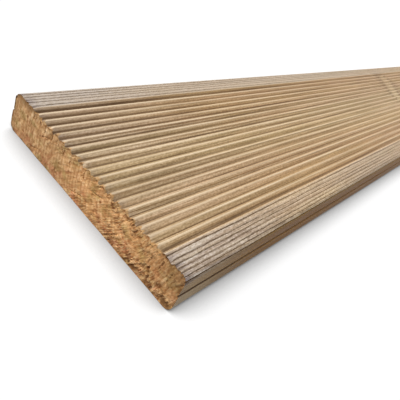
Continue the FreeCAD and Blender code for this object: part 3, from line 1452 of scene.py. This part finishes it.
@dataclass(frozen=True)
class SawnEndGrain:
    """Pine cut across the grain by a coarse saw: torn fibres that drink light, orange-tan and speckled."""

    name: str = "sawn_pine_end_grain"
    rings: YearRings = YearRings(
        early_wood="#e9b680",
        mid_wood="#e1a86d",
        late_wood="#b27541",
        stops=((0.0, Season.EARLY), (1.0, Season.MID), (0.5, Season.EARLY), (0.88, Season.LATE)),
        faintness=(0.2, 0.9),
    )
    layers: tuple[Layer, ...] = (EndStains(), TornFibre(), PithAndPits(), EndGrimeAndShade())
    strokes: SawStrokes = SawStrokes()
    # Clumps of fibre, and the strokes with the waver that bends them
    clump: Size = (1.0, 2.8, 2.4)
    kerf: Size = (1.0, 1.4, 6.0)
    waver: float = 2.4
    waver_wave: float = 20.0 / 9.0
    roughness: float = 0.85
    ior: float = 1.53
    specular: float = 0.3
    fray_height: float = 0.5
    relief: float = 0.6

    def make(self, growth: Growth) -> bpy.types.Material:
        """Make the material of the sawn ends.

        Args:
            growth: the tree's rings and branches.

        Returns:
            The material.
        """
        material, node = start_material(self.name)
        spot = self.spot(node, growth.grain(node))
        wood = self.rings.wood(node, spot.grain)
        for layer in self.layers:
            wood = layer.over(spot, wood)
        bump = {"Strength": self.relief, "Distance": self.fray_height * MM, "Height": spot.height}
        shine = {"Roughness": self.roughness, "IOR": self.ior, "Specular IOR Level": self.specular}
        shader = node("BsdfPrincipled", {"Base Color": wood, "Normal": node("Bump", bump), **shine})
        node("OutputMaterial", shader, out=None)
        return material

    def spot(self, node: Adder, grain: Grain) -> SawnSpot:
        """Add the nodes that say what a place on the sawn ends is like.

        Args:
            node: the function that adds a node.
            grain: the sockets of the place and the tree's growth.

        Returns:
            The sockets.
        """
        pit, rim, torn = (node("Attribute", attribute_name=mark.value, out="Fac") for mark in SAWN_MARKS)
        straight = self.strokes.along(node, grain)
        waver = node("TexNoise", grain.at, {"Scale": 1.0 / self.waver_wave}, out="Color")
        bend = (0.0, self.waver, self.waver)
        stroke = node("VectorMath", waver, bend, straight, operation="MULTIPLY_ADD")
        clump = mottle(node, grain.at, self.clump, detail=1.5)
        kerf = mottle(node, stroke, self.kerf, detail=1.0)
        height = node("Math", clump, kerf, operation="ADD")
        return SawnSpot(node=node, grain=grain, pit=pit, rim=rim, torn=torn, stroke=stroke, height=height)


@dataclass(frozen=True)
class PaperFloor:
    """Matt white background paper: white to the camera with a painted contact shadow, a plain pale grey to
    the board.
    """

    name: str = "matt_white_paper"
    white: str = WHITE
    bounce: str = "#9c9c9c"
    # Painted contact shadow: how near to the board the paper darkens, and the shares of open sky above it
    # that make it dark and white
    painted_shadow_reach: float = 30.0
    painted_shadow_open: Point = (0.3, 0.78)
    painted_shadow_samples: int = 16
    glow: float = 1.05
    lit_share: float = 0.22

    def make(self) -> bpy.types.Material:
        """Make the floor's material.

        Returns:
            The material.
        """
        material, node = start_material(self.name)
        paper = node("BsdfDiffuse", linear(self.white))
        reach = {"Distance": self.painted_shadow_reach * MM}
        open_sky = node("AmbientOcclusion", reach, out="AO", samples=self.painted_shadow_samples)
        glow = node("MapRange", open_sky, *self.painted_shadow_open, 0.0, self.glow)
        lift = node("Emission", linear(self.white), glow)
        bright = node("MixShader", self.lit_share, lift, paper)
        plain = node("BsdfDiffuse", linear(self.bounce))
        node("OutputMaterial", node("MixShader", plain_view(node), plain, bright), out=None)
        return material


@dataclass
class EndCap:
    """The face of one sawn end: the points inside its rim, their depths and marks, and the triangles.

    The triangles count the points of the rim first and then those inside it.
    """

    spots: np.ndarray
    depth: np.ndarray
    marks: dict[Mark, np.ndarray]
    triangles: np.ndarray


@dataclass(frozen=True)
class SawnEnd:
    """The relief of the sawn ends, in millimetres: torn fibres, pits and splits.

    Places across are those of the first end, and the second end mirrors them.
    """

    section: ReededSection
    pith: Point
    strokes: SawStrokes = SawStrokes()
    # How far apart the points inside the rim are, and in shares of that how far each one is moved and how far
    # it keeps from the rim
    grit: float = 0.6
    grit_stray: float = 0.3
    grit_clear: float = 0.6
    grit_seed: int = 7
    # How badly the saw tore: in patches, worse on the near half, worst low down there and under the reeds
    near_half: Point = (-37.0, 18.0)
    low_part: Point = (3.0, 11.0)
    low_tearing: float = 0.65
    reed_tearing: float = 0.7
    reed_reach: float = 1.5
    plain_tearing: Point = (0.12, 0.2)
    patch_tearing: Point = (0.2, 0.4)
    patch_gain: float = 2.0
    patch_drift: float = 17.0
    patches: Ripple = Ripple((1.0, 9.0, 6.0))
    # Frayed fibres: a level with strokes and tufts on it, then clumps, both by how torn the place is
    fray: float = 0.8
    fray_torn: Point = (0.3, 0.7)
    fray_mix: Size = (0.35, 0.4, 0.6)
    clump_mix: Point = (0.15, 0.55)
    clump_most: float = 0.5
    stroke_drift: float = 31.0
    kerfs: Ripple = Ripple((1.0, 1.6, 6.0))
    tufts: Ripple = Ripple((1.0, 1.5, 4.0), (7.0, 0.0, 0.0))
    clumps: Ripple = Ripple((1.0, 3.0, 4.0), (23.0, 0.0, 0.0))
    # Pits where fibres were pulled out
    pit_depth: float = 1.0
    pit_mix: Point = (-0.7, 0.45)
    pit_gain: float = 3.0
    pit_most: float = 0.6
    pits: Ripple = Ripple((1.0, 1.4, 3.2), (13.0, 0.0, 0.0))
    # Splits: the larger shakes, tears below the roots of the reeds and a star of cracks at the pith
    shake_depth: float = 0.9
    shakes: tuple[tuple[Point, Point], ...] = (
        ((-49.1, 8.2), (-52.2, 23.0)),
        ((-56.5, 13.0), (-58.0, 23.5)),
        ((-63.0, 11.0), (-64.5, 22.5)),
        ((37.5, 21.5), (35.5, 14.5)),
        ((26.0, 22.0), (24.0, 16.0)),
        ((12.6, 10.2), (13.8, 11.4)),
        ((13.2, 3.3), (1.4, 7.8)),
        ((-0.6, 15.2), (-12.4, 18.6)),
        ((-22.2, 3.8), (-28.6, 9.7)),
        ((-39.9, 5.3), (-46.8, 8.7)),
        ((46.6, 13.2), (37.8, 18.1)),
        ((52.5, 1.9), (43.7, 5.8)),
    )
    tear_depth: float = 0.8
    tear_start: float = 0.3
    near_tear: Point = (0.5, 3.5)
    far_tear: Point = (2.5, 9.0)
    tear_lean: Point = (-0.1, 0.2)
    star_cracks: int = 10
    star_stray: float = 0.2
    star_reach: Point = (1.5, 4.0)
    split_half_width: float = 0.55
    split_tip: float = 0.05
    split_seed: int = 19
    # How far in from the rim the mark of it fades
    rim_reach: float = 1.3

    def close(self, rim: np.ndarray, end: End) -> EndCap:
        """Make the face of an end.

        Args:
            rim: rows of Y and Z round the end.
            end: the end.

        Returns:
            The face.
        """
        spots = self.inner_points(rim, self.grit_seed + end.value)
        flat = [Vector(spot) for spot in np.concatenate([rim, spots]).tolist()]
        border = [(corner, (corner + 1) % len(rim)) for corner in range(len(rim))]
        made = delaunay_2d_cdt(flat, border, [], INSIDE_RIM, LEAST_APART)
        corners, sources = made[2], made[3]
        triangles = np.array([olds[0] for olds in sources])[np.array(corners)]
        if end is End.FIRST:
            triangles = triangles[:, ::-1]
        to_rim = self.to_rim(rim, spots)
        tearing = self.tearing(spots, to_rim, end)
        depth = self.depth(spots, tearing, end)
        marks = {
            Mark.PIT: np.clip(depth / self.pit_depth, 0, 1),
            Mark.RIM: np.exp(-to_rim / self.rim_reach),
            Mark.TORN: tearing,
        }
        return EndCap(spots=spots, depth=depth, marks=marks, triangles=triangles)

    def inner_points(self, rim: np.ndarray, seed: int) -> np.ndarray:
        """Scatter points over an end, inside its rim.

        Args:
            rim: rows of Y and Z round the end.
            seed: the random draw's seed.

        Returns:
            Rows of Y and Z.
        """
        draw = np.random.default_rng(seed)
        low, high = rim.min(0), rim.max(0)
        across, up = np.meshgrid(np.arange(low[0], high[0], self.grit), np.arange(low[1], high[1], self.grit))
        spots = np.stack([across.ravel(), up.ravel()], 1)
        spots += draw.uniform(-self.grit_stray, self.grit_stray, spots.shape) * self.grit
        inside = np.zeros(len(spots), bool)
        for (y0, z0), (y1, z1) in zip(rim, np.roll(rim, -1, 0)):
            crosses = (z0 > spots[:, 1]) != (z1 > spots[:, 1])
            if z0 != z1:
                inside ^= crosses & (spots[:, 0] < (y1 - y0) * (spots[:, 1] - z0) / (z1 - z0) + y0)
        spots = spots[inside]
        return spots[self.to_rim(rim, spots) > self.grit * self.grit_clear]

    def to_rim(self, rim: np.ndarray, spots: np.ndarray) -> np.ndarray:
        """How far each spot of an end is from the nearest point of its rim."""
        nearest = np.full(len(spots), np.inf)
        for corner in rim:
            nearest = np.minimum(nearest, np.hypot(*(spots - corner).T))
        return nearest

    def tearing(self, spots: np.ndarray, to_rim: np.ndarray, end: End) -> np.ndarray:
        """How badly the saw tore each spot of an end.

        Args:
            spots: rows of Y and Z.
            to_rim: how far each spot is from the rim.
            end: the end that they are on.

        Returns:
            A share from 0 to 1 for each spot.
        """
        across, up = spots[:, 0] * -end.value, spots[:, 1]
        near = np.interp(across, self.near_half, (1.0, 0.0))
        low = np.interp(up, self.low_part, (1.0, 0.0))
        under_reeds = np.exp(-to_rim / self.reed_reach) * (up > self.section.thickness / 2)
        drift = np.full(len(spots), self.patch_drift * end.value)
        patches = np.clip(self.patches.at(np.column_stack([drift, across, up])) * self.patch_gain, 0, 1)
        plain = self.plain_tearing[0] + self.plain_tearing[1] * near
        patchy = patches * (self.patch_tearing[0] + self.patch_tearing[1] * near)
        worst = self.low_tearing * near * low + self.reed_tearing * under_reeds
        return np.clip(worst + plain + patchy, 0, 1)

    def depth(self, spots: np.ndarray, tearing: np.ndarray, end: End) -> np.ndarray:
        """How deep each spot of an end lies.

        Args:
            spots: rows of Y and Z.
            tearing: the share of tearing at each spot.
            end: the end that they are on.

        Returns:
            The depth at each spot, 0 or more.
        """
        across, up = spots[:, 0] * -end.value, spots[:, 1]
        drift = np.full(len(spots), self.stroke_drift * end.value)
        stroke = np.column_stack([drift, across + up * self.strokes.lean(across), up])
        level, kerf, tuft = self.fray_mix
        frayed = level + kerf * self.kerfs.at(stroke) + tuft * tearing * self.tufts.at(stroke)
        depth = self.fray * (self.fray_torn[0] + self.fray_torn[1] * tearing) * np.clip(frayed, 0, 1)
        clumps = self.clump_mix[0] + self.clump_mix[1] * self.clumps.at(stroke)
        depth += self.fray * tearing * np.clip(clumps, 0, self.clump_most)
        pits = self.pits.at(stroke) + self.pit_mix[0] + self.pit_mix[1] * tearing
        depth += self.pit_depth * np.clip(pits * self.pit_gain, 0, self.pit_most) * tearing
        for start, finish, deepest in self.splits():
            run_way = np.array(finish) - np.array(start)
            from_start = np.column_stack([across, up]) - np.array(start)
            share = np.clip(from_start @ run_way / (run_way @ run_way), 0, 1)
            away = np.hypot(*(from_start - share[:, None] * run_way).T)
            bow = np.sqrt(np.clip(4 * share * (1 - share), self.split_tip, 1))
            depth = np.maximum(depth, deepest * bow * np.clip(1 - away / self.split_half_width, 0, 1))
        return depth

    def splits(self) -> list[tuple[Point, Point, float]]:
        """The shakes, the tears and the star of cracks, each with its start, its finish and its depth."""
        draw = np.random.default_rng(self.split_seed)
        found = [(start, finish, self.shake_depth) for start, finish in self.shakes]
        top = self.section.root_level - self.tear_start
        for centre in self.section.reed_centres():
            root = centre + self.section.reed_pitch / 2
            drop = draw.uniform(*(self.far_tear if root > 0 else self.near_tear))
            foot = (root - draw.uniform(*self.tear_lean) * drop, top - drop)
            found.append(((root, top), foot, self.tear_depth))
        turns = np.arange(self.star_cracks) * (2 * math.pi / self.star_cracks)
        for turn in turns + draw.uniform(-self.star_stray, self.star_stray, self.star_cracks):
            reach = draw.uniform(*self.star_reach)
            up = min(self.pith[1] + reach * math.sin(turn), self.section.root_level)
            found.append((self.pith, (self.pith[0] + reach * math.cos(turn), up), self.tear_depth))
        return found


@dataclass
class DeckBoard:
    """The whole board as one closed mesh: a swept section with two rough-sawn ends, in millimetres."""

    section: ReededSection
    length: float
    ends: SawnEnd
    # Where the first sections stand from an end, and how the steps between the others grow
    end_steps: tuple[float, ...] = (0.0, 0.4, 0.9, 1.5, 2.3, 3.3, 4.6, 6.2, 8.2)
    step_growth: float = 1.22
    longest_step: float = 12.0
    raised_grain: float = 0.16
    grain: Ripple = Ripple((48.0, 1.3, 1.3))
    # The reeds stray sideways, and the margins' grooves more so by a factor
    reed_sway: float = 0.15
    margin_sway: float = 2.5
    sway: Ripple = Ripple((40.0, 2.6, 40.0), (60.0, 60.0, 60.0))
    # Chips out of the walking face at the ends: how deep, how far along the board and how they run out
    chip_depth: float = 1.5
    chip_gain: float = 1.6
    chip_reach: Point = (2.0, 3.0)
    chip_fall: float = 1.5
    chips: Ripple = Ripple((ENDLESS, 3.1, 3.1), (90.0, 90.0, 90.0))
    chip_reaches: Ripple = Ripple((ENDLESS, 4.3, 4.3), (40.0, 40.0, 40.0))
    # The rims of the ends, ragged along the board, and less so on the sides
    ragged: float = 0.8
    ragged_level: float = 0.45
    ragged_side: float = 0.3
    ragged_reach: float = 6.0
    rags: Ripple = Ripple((ENDLESS, 1.4, 1.4), (20.0, 20.0, 20.0))
    # What the rims carry for the material of the ends
    rim_marks: tuple[tuple[Mark, float], ...] = ((Mark.PIT, 0.3), (Mark.RIM, 1.0), (Mark.TORN, 0.6))
    crease_deg: float = 32.0
    # The flat layout, in shares of the picture: its edge, two strips for the planed faces and the ends' scale
    sheet_edge: float = 0.005
    sheet_scale: float = 1.95
    strip_height: float = 0.44
    cap_scale: float = 0.0033
    piece: bpy.types.Object | None = field(default=None, init=False)

    def stations(self) -> np.ndarray:
        """Places along the board for its cross-sections, close together near the ends."""
        places = list(self.end_steps)
        step = places[-1] - places[-2]
        while places[-1] + step < self.length / 2:
            step = min(step * self.step_growth, self.longest_step)
            places.append(places[-1] + step)
        half = np.array([place for place in places if place < self.length / 2 - self.longest_step / 2])
        first = half - self.length / 2
        return np.concatenate([first, -first[::-1]])

    def swept(self, outline: np.ndarray) -> np.ndarray:
        """Sweep the outline along the stations, with raised grain and chipped, ragged ends.

        Args:
            outline: the section's rows.

        Returns:
            The points, by station and place on the outline.
        """
        places = self.stations()
        line, on_margin, on_side = outline[:, :2], outline[:, 3], outline[:, 4]
        points = np.empty((len(places), len(line), 3))
        points[:, :, 0] = places[:, None]
        points[:, :, 1:] = line[None]
        ahead = np.roll(line, -1, 0) - np.roll(line, 1, 0)
        inward = np.stack([ahead[:, 1], -ahead[:, 0]], 1)
        inward /= np.hypot(*inward.T)[:, None]
        to_end = self.length / 2 - np.abs(points[:, :, 0])
        off_middle = np.abs(line[:, 0])
        sunk = self.raised_grain * np.clip(0.5 + 0.5 * self.grain.at(points), 0, 1)
        chips = np.clip(self.chips.at(points) * self.chip_gain, 0, 1)
        chips[:, (off_middle > self.section.margin_outer) | (on_side > 0)] = 0.0
        reach = self.chip_reach[0] + self.chip_reach[1] * np.abs(self.chip_reaches.at(points))
        loose = np.where((off_middle < self.section.margin_outer) & (on_side == 0), self.reed_sway, 0.0)
        loose = np.where(on_margin > 0, loose * self.margin_sway, loose)
        points[:, :, 1] += loose[None] * self.sway.at(points)
        points[:, :, 2] -= self.chip_depth * chips * np.clip(1 - to_end / reach, 0, 1) ** self.chip_fall
        points[:, :, 1:] += inward[None] * sunk[:, :, None]
        rag = self.ragged * np.clip(self.ragged_level + self.rags.at(points), 0, 1)
        rag *= np.where(on_side > 0, self.ragged_side, 1.0)[None]
        points[:, :, 0] -= np.sign(points[:, :, 0]) * rag * np.clip(1 - to_end / self.ragged_reach, 0, 1)
        return points

    def lay_out(self, outline: np.ndarray, caps: list[np.ndarray]) -> np.ndarray:
        """Lay the surface out flat for a picture of it: the planed faces as two strips, the ends above them.

        Args:
            outline: the section's rows.
            caps: the Y and Z of each triangle's corners, for each end.

        Returns:
            The place in the picture of each corner of each face, from 0 to 1 each way.
        """
        places = self.stations()
        closed = np.concatenate([outline[:, :2], outline[:1, :2]])
        run = np.concatenate([[0.0], np.cumsum(np.hypot(*np.diff(closed, axis=0).T))])
        share = run / run[-1]
        middle = len(places) // 2
        strip = self.strip_height + self.sheet_edge
        laid = []
        for row in range(len(places) - 1):
            second = row >= middle
            begin = places[middle] if second else places[0]
            left, right = self.sheet_edge + (places[row:row + 2] - begin) * self.sheet_scale / self.length
            rise = self.sheet_edge + share * self.strip_height + second * strip
            low, high = rise[:-1], rise[1:]
            across = np.stack([np.full_like(low, turn) for turn in (left, right, right, left)], 1)
            laid.append(np.stack([across, np.stack([low, low, high, high], 1)], 2).reshape(-1, 2))
        base = np.array([self.section.width / 2, 0.0])
        for number, cap in enumerate(caps):
            corner = np.array([self.sheet_edge + number / len(caps), 2 * strip + self.sheet_edge])
            laid.append(corner + (cap.reshape(-1, 2) + base) * self.cap_scale)
        return np.concatenate(laid)

    def walls(self, rows: int, count: int) -> list[list[int]]:
        """The faces between the swept sections.

        Args:
            rows: how many sections there are.
            count: how many points each one has.

        Returns:
            The four corners of each face.
        """
        here = np.arange(count)
        after = (here + 1) % count
        faces = []
        for row in range(rows - 1):
            near, far = row * count, (row + 1) * count
            faces += np.stack([near + here, far + here, far + after, near + after], 1).tolist()
        return faces

    def build(self) -> bpy.types.Object:
        """Make the mesh of the board.

        Returns:
            The board's object.
        """
        outline = self.section.outline()
        swept = self.swept(outline)
        rows, count = swept.shape[:2]
        points = swept.reshape(-1, 3)
        faces = self.walls(rows, count)
        slots = [Surface.PLANED.value] * len(faces)
        marks = {mark: np.tile(values, rows) for mark, values in zip(PLANED_MARKS, outline[:, 2:].T)}
        marks |= {mark: np.full(len(points), value) for mark, value in self.rim_marks}
        caps = []
        for end in End:
            rim = np.arange(count) + (0 if end is End.FIRST else (rows - 1) * count)
            cap = self.ends.close(points[rim][:, 1:], end)
            numbers = np.concatenate([rim, len(points) + np.arange(len(cap.spots))])
            triangles = numbers[cap.triangles]
            place = end.value * (self.length / 2 - cap.depth)
            points = np.concatenate([points, np.column_stack([place, cap.spots])])
            caps.append(points[triangles][:, :, 1:])
            faces += triangles.tolist()
            slots += [Surface.SAWN.value] * len(triangles)
            for mark in Mark:
                added = cap.marks.get(mark, np.zeros(len(cap.spots)))
                marks[mark] = np.concatenate([marks[mark], added])
        mesh = bpy.data.meshes.new("reeded_board")
        mesh.from_pydata((points * MM).tolist(), [], faces)
        mesh.polygons.foreach_set("material_index", slots)
        mesh.polygons.foreach_set("use_smooth", [True] * len(faces))
        mesh.set_sharp_from_angle(angle=math.radians(self.crease_deg))
        mesh.uv_layers.new(name=BAKE_MAP).data.foreach_set("uv", self.lay_out(outline, caps).ravel())
        for mark, values in marks.items():
            mesh.attributes.new(mark.value, "FLOAT", "POINT").data.foreach_set("value", values)
        mesh.update()
        self.piece = bpy.data.objects.new("reeded_board", mesh)
        bpy.context.scene.collection.objects.link(self.piece)
        return self.piece

    def dress(self, finishes: dict[Surface, bpy.types.Material]) -> None:
        """Give the board its materials and tie it to the frame.

        Args:
            finishes: a material for each kind of surface.
        """
        for surface in Surface:
            self.piece.data.materials.append(finishes[surface])
        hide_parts(NODE)
        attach(self.piece, BODY)


@dataclass
class Studio:
    """A white floor, a soft key light, an even fill and the camera."""

    visible_end: Vector
    camera_place_mm: Size = (-126.97, -118.69, 161.81)
    camera_target_mm: Size = (45.75, -36.10, 25.0)
    camera_roll_deg: float = 29.36
    lens_mm: float = 39.26
    sensor_mm: float = 36.0
    # What the camera sees and how far the floor goes, in metres
    sight: Point = (0.01, 200.0)
    floor_reach: float = 40.0
    fill: float = 0.3
    key: float = 2.85
    key_way: Size = (-0.5, 0.25, 0.83)
    key_spread_deg: float = 40.0

    def build_camera(self) -> bpy.types.Object:
        """Set the camera where the photograph was taken from.

        Returns:
            The camera's object.
        """
        data = bpy.data.cameras.new("camera")
        data.lens = self.lens_mm
        data.sensor_width = self.sensor_mm
        data.clip_start, data.clip_end = self.sight
        camera = bpy.data.objects.new("camera", data)
        place = self.visible_end + Vector(self.camera_place_mm) * MM
        target = self.visible_end + Vector(self.camera_target_mm) * MM
        forward = (target - place).normalized()
        level = forward.cross(Vector((0, 0, 1))).normalized()
        upright = level.cross(forward)
        roll = math.radians(self.camera_roll_deg)
        right = level * math.cos(roll) + upright * math.sin(roll)
        up = right.cross(forward)
        turn = Matrix((right, up, -forward)).transposed()
        camera.matrix_world = Matrix.Translation(place) @ turn.to_4x4()
        bpy.context.scene.collection.objects.link(camera)
        bpy.context.scene.camera = camera
        return camera

    def build_lights(self) -> bpy.types.Object:
        """Set the key light and the even fill, which looks white where it shows.

        Returns:
            The key light's object.
        """
        data = bpy.data.lights.new("key_light", "SUN")
        data.energy = self.key
        data.angle = math.radians(self.key_spread_deg)
        lamp = bpy.data.objects.new("key_light", data)
        lamp.rotation_euler = Vector(self.key_way).to_track_quat("Z", "Y").to_euler()
        bpy.context.scene.collection.objects.link(lamp)
        world = bpy.data.worlds.new("studio")
        bpy.context.scene.world = world
        world.use_nodes = True
        world.node_tree.nodes.clear()
        node = partial(add_node, world.node_tree)
        strength = node("MapRange", plain_view(node), 0.0, 1.0, self.fill, 1.0)
        node("OutputWorld", node("Background", linear(WHITE), strength), out=None)
        return lamp

    def build_floor(self, finish: bpy.types.Material) -> bpy.types.Object:
        """Lay the floor that the board rests on.

        Args:
            finish: the floor's material.

        Returns:
            The floor's object.
        """
        reach = self.floor_reach
        corners = [(-reach, -reach, 0), (reach, -reach, 0), (reach, reach, 0), (-reach, reach, 0)]
        mesh = bpy.data.meshes.new("floor")
        mesh.from_pydata(corners, [], [(0, 1, 2, 3)])
        mesh.materials.append(finish)
        floor = bpy.data.objects.new("floor", mesh)
        bpy.context.scene.collection.objects.link(floor)
        return floor


def main() -> None:
    """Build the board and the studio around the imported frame."""
    logging.basicConfig(level=logging.INFO, format="%(name)s: %(message)s")
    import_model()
    low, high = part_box(NODE)
    size = (high - low) / MM
    bpy.context.scene.view_settings.view_transform = "Standard"
    growth = Growth(length=size.x)
    section = ReededSection(width=size.y, thickness=size.z)
    board = DeckBoard(section=section, length=size.x, ends=SawnEnd(section=section, pith=growth.pith))
    piece = board.build()
    board.dress({Surface.PLANED: PlanedPine().make(growth), Surface.SAWN: SawnEndGrain().make(growth)})
    LOG.info("%s: %d points, %d faces", piece.name, len(piece.data.vertices), len(piece.data.polygons))
    studio = Studio(visible_end=Vector((low.x, 0.0, 0.0)))
    for made in (studio.build_floor(PaperFloor().make()), studio.build_lights(), studio.build_camera()):
        LOG.info("%s set", made.name)


if __name__ == "__main__":
    main()
